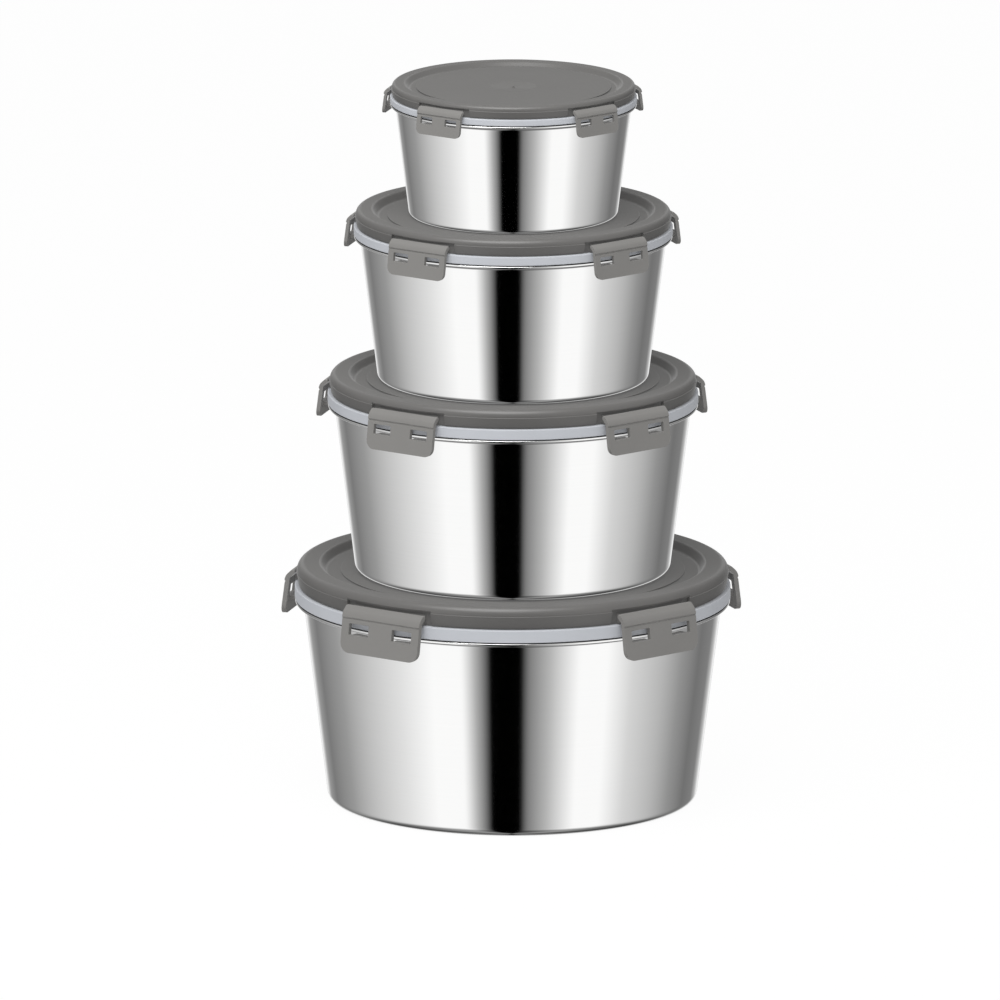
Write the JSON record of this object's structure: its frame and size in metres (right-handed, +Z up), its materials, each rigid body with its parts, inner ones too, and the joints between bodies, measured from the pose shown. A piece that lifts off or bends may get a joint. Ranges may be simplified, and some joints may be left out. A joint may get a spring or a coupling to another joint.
{
  "type": "food container set",
  "caption": "Stacked round stainless food containers with tapered polished bowls, silicone seals and grey moulded lids held by hinged latches that hook under a rolled rim.",
  "frame": {"origin": "middle of the lowest bowl's base, on the surface it stands on", "axes": "+Z up along the stack, -Y the front, midway between two latches, +X to the right"},
  "size_m": [0.2218, 0.2148, 0.3511],
  "materials": {
    "steel": "mirror-polished stainless sheet",
    "lid_plastic": "satin moulded polypropylene, dark warm grey",
    "latch_plastic": "satin moulded polypropylene, warm grey",
    "seal_silicone": "matt translucent white silicone"
  },
  "bodies": {
    "large_bowl": {"large_bowl": "steel"},
    "large_lid": {"large_lid": "lid_plastic", "large_seal": "seal_silicone"},
    "large_latch_1": {"large_latch_1": "latch_plastic"},
    "large_latch_2": {"large_latch_2": "latch_plastic"},
    "large_latch_3": {"large_latch_3": "latch_plastic"},
    "large_latch_4": {"large_latch_4": "latch_plastic"},
    "large_latch_5": {"large_latch_5": "latch_plastic"},
    "medium_bowl": {"medium_bowl": "steel"},
    "medium_lid": {"medium_lid": "lid_plastic", "medium_seal": "seal_silicone"},
    "medium_latch_1": {"medium_latch_1": "latch_plastic"},
    "medium_latch_2": {"medium_latch_2": "latch_plastic"},
    "medium_latch_3": {"medium_latch_3": "latch_plastic"},
    "medium_latch_4": {"medium_latch_4": "latch_plastic"},
    "medium_latch_5": {"medium_latch_5": "latch_plastic"},
    "small_bowl": {"small_bowl": "steel"},
    "small_lid": {"small_lid": "lid_plastic", "small_seal": "seal_silicone"},
    "small_latch_1": {"small_latch_1": "latch_plastic"},
    "small_latch_2": {"small_latch_2": "latch_plastic"},
    "small_latch_3": {"small_latch_3": "latch_plastic"},
    "small_latch_4": {"small_latch_4": "latch_plastic"},
    "small_latch_5": {"small_latch_5": "latch_plastic"},
    "mini_bowl": {"mini_bowl": "steel"},
    "mini_lid": {"mini_lid": "lid_plastic", "mini_seal": "seal_silicone"},
    "mini_latch_1": {"mini_latch_1": "latch_plastic"},
    "mini_latch_2": {"mini_latch_2": "latch_plastic"},
    "mini_latch_3": {"mini_latch_3": "latch_plastic"},
    "mini_latch_4": {"mini_latch_4": "latch_plastic"},
    "mini_latch_5": {"mini_latch_5": "latch_plastic"}
  },
  "joints": [
    {"name": "large_lid_lift", "type": "slide", "parent": "large_bowl", "child": "large_lid", "axis": [0, 0, 1], "range_m": [0, 0.06]},
    {"name": "large_latch_1_hinge", "type": "hinge", "parent": "large_lid", "child": "large_latch_1", "pos_m": [0.06456, -0.08116, 0.1092], "axis": [-0.7826, -0.6225, 0], "range_deg": [0, 110]},
    {"name": "large_latch_2_hinge", "type": "hinge", "parent": "large_lid", "child": "large_latch_2", "pos_m": [0.09863, 0.03204, 0.1092], "axis": [0.309, -0.9511, 0], "range_deg": [0, 110]},
    {"name": "large_latch_3_hinge", "type": "hinge", "parent": "large_lid", "child": "large_latch_3", "pos_m": [0, 0.1037, 0.1092], "axis": [1, 0, 0], "range_deg": [0, 110]},
    {"name": "large_latch_4_hinge", "type": "hinge", "parent": "large_lid", "child": "large_latch_4", "pos_m": [-0.09863, 0.03204, 0.1092], "axis": [0.309, 0.9511, 0], "range_deg": [0, 110]},
    {"name": "large_latch_5_hinge", "type": "hinge", "parent": "large_lid", "child": "large_latch_5", "pos_m": [-0.06456, -0.08116, 0.1092], "axis": [-0.7826, 0.6225, 0], "range_deg": [0, 110]},
    {"name": "medium_container_lift", "type": "slide", "parent": "large_lid", "child": "medium_bowl", "axis": [0, 0, 1], "range_m": [0, 0.06]},
    {"name": "medium_lid_lift", "type": "slide", "parent": "medium_bowl", "child": "medium_lid", "axis": [0, 0, 1], "range_m": [0, 0.06]},
    {"name": "medium_latch_1_hinge", "type": "hinge", "parent": "medium_lid", "child": "medium_latch_1", "pos_m": [0.05484, -0.06895, 0.20345], "axis": [-0.7826, -0.6225, 0], "range_deg": [0, 110]},
    {"name": "medium_latch_2_hinge", "type": "hinge", "parent": "medium_lid", "child": "medium_latch_2", "pos_m": [0.08379, 0.02722, 0.20345], "axis": [0.309, -0.9511, 0], "range_deg": [0, 110]},
    {"name": "medium_latch_3_hinge", "type": "hinge", "parent": "medium_lid", "child": "medium_latch_3", "pos_m": [0, 0.0881, 0.20345], "axis": [1, 0, 0], "range_deg": [0, 110]},
    {"name": "medium_latch_4_hinge", "type": "hinge", "parent": "medium_lid", "child": "medium_latch_4", "pos_m": [-0.08379, 0.02722, 0.20345], "axis": [0.309, 0.9511, 0], "range_deg": [0, 110]},
    {"name": "medium_latch_5_hinge", "type": "hinge", "parent": "medium_lid", "child": "medium_latch_5", "pos_m": [-0.05484, -0.06895, 0.20345], "axis": [-0.7826, 0.6225, 0], "range_deg": [0, 110]},
    {"name": "small_container_lift", "type": "slide", "parent": "medium_lid", "child": "small_bowl", "axis": [0, 0, 1], "range_m": [0, 0.06]},
    {"name": "small_lid_lift", "type": "slide", "parent": "small_bowl", "child": "small_lid", "axis": [0, 0, 1], "range_m": [0, 0.06]},
    {"name": "small_latch_1_hinge", "type": "hinge", "parent": "small_lid", "child": "small_latch_1", "pos_m": [0.04719, -0.05932, 0.28475], "axis": [-0.7826, -0.6225, 0], "range_deg": [0, 110]},
    {"name": "small_latch_2_hinge", "type": "hinge", "parent": "small_lid", "child": "small_latch_2", "pos_m": [0.07209, 0.02342, 0.28475], "axis": [0.309, -0.9511, 0], "range_deg": [0, 110]},
    {"name": "small_latch_3_hinge", "type": "hinge", "parent": "small_lid", "child": "small_latch_3", "pos_m": [0, 0.0758, 0.28475], "axis": [1, 0, 0], "range_deg": [0, 110]},
    {"name": "small_latch_4_hinge", "type": "hinge", "parent": "small_lid", "child": "small_latch_4", "pos_m": [-0.07209, 0.02342, 0.28475], "axis": [0.309, 0.9511, 0], "range_deg": [0, 110]},
    {"name": "small_latch_5_hinge", "type": "hinge", "parent": "small_lid", "child": "small_latch_5", "pos_m": [-0.04719, -0.05932, 0.28475], "axis": [-0.7826, 0.6225, 0], "range_deg": [0, 110]},
    {"name": "mini_container_lift", "type": "slide", "parent": "small_lid", "child": "mini_bowl", "axis": [0, 0, 1], "range_m": [0, 0.06]},
    {"name": "mini_lid_lift", "type": "slide", "parent": "mini_bowl", "child": "mini_lid", "axis": [0, 0, 1], "range_m": [0, 0.06]},
    {"name": "mini_latch_1_hinge", "type": "hinge", "parent": "mini_lid", "child": "mini_latch_1", "pos_m": [0.03645, -0.04582, 0.3474], "axis": [-0.7826, -0.6225, 0], "range_deg": [0, 110]},
    {"name": "mini_latch_2_hinge", "type": "hinge", "parent": "mini_lid", "child": "mini_latch_2", "pos_m": [0.05568, 0.01809, 0.3474], "axis": [0.309, -0.9511, 0], "range_deg": [0, 110]},
    {"name": "mini_latch_3_hinge", "type": "hinge", "parent": "mini_lid", "child": "mini_latch_3", "pos_m": [0, 0.05855, 0.3474], "axis": [1, 0, 0], "range_deg": [0, 110]},
    {"name": "mini_latch_4_hinge", "type": "hinge", "parent": "mini_lid", "child": "mini_latch_4", "pos_m": [-0.05568, 0.01809, 0.3474], "axis": [0.309, 0.9511, 0], "range_deg": [0, 110]},
    {"name": "mini_latch_5_hinge", "type": "hinge", "parent": "mini_lid", "child": "mini_latch_5", "pos_m": [-0.03645, -0.04582, 0.3474], "axis": [-0.7826, 0.6225, 0], "range_deg": [0, 110]}
  ]
}
